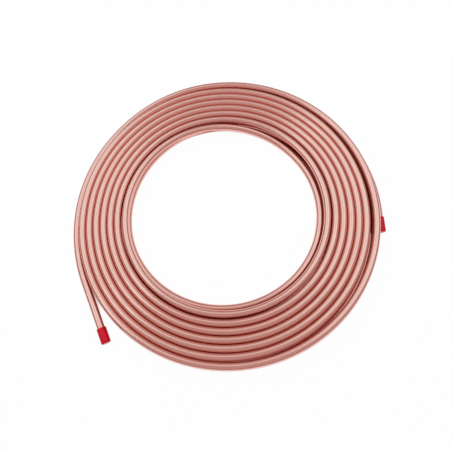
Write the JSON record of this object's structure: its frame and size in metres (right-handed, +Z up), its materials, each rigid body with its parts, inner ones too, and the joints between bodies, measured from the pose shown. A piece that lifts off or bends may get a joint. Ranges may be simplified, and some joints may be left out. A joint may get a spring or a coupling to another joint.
{
  "type": "copper tube coil",
  "caption": "Flat pancake coil of soft copper tube with an open eye, stock for refrigerant, water and gas lines; red push-on plastic caps close the tube's ends.",
  "frame": {"origin": "on the floor, on the axis of the coil's eye", "axes": "+Z up along the eye's axis, +X towards the side where the lower end comes out, +Y towards the side where the tube steps from the upper layer to the lower"},
  "size_m": [0.4205, 0.4058, 0.0194],
  "materials": {
    "copper": "satin, soft-annealed copper",
    "cap_plastic": "soft gloss, red"
  },
  "bodies": {
    "root": {"copper_tube": "copper", "upper_end_cap": "cap_plastic", "lower_end_cap": "cap_plastic"}
  },
  "joints": []
}
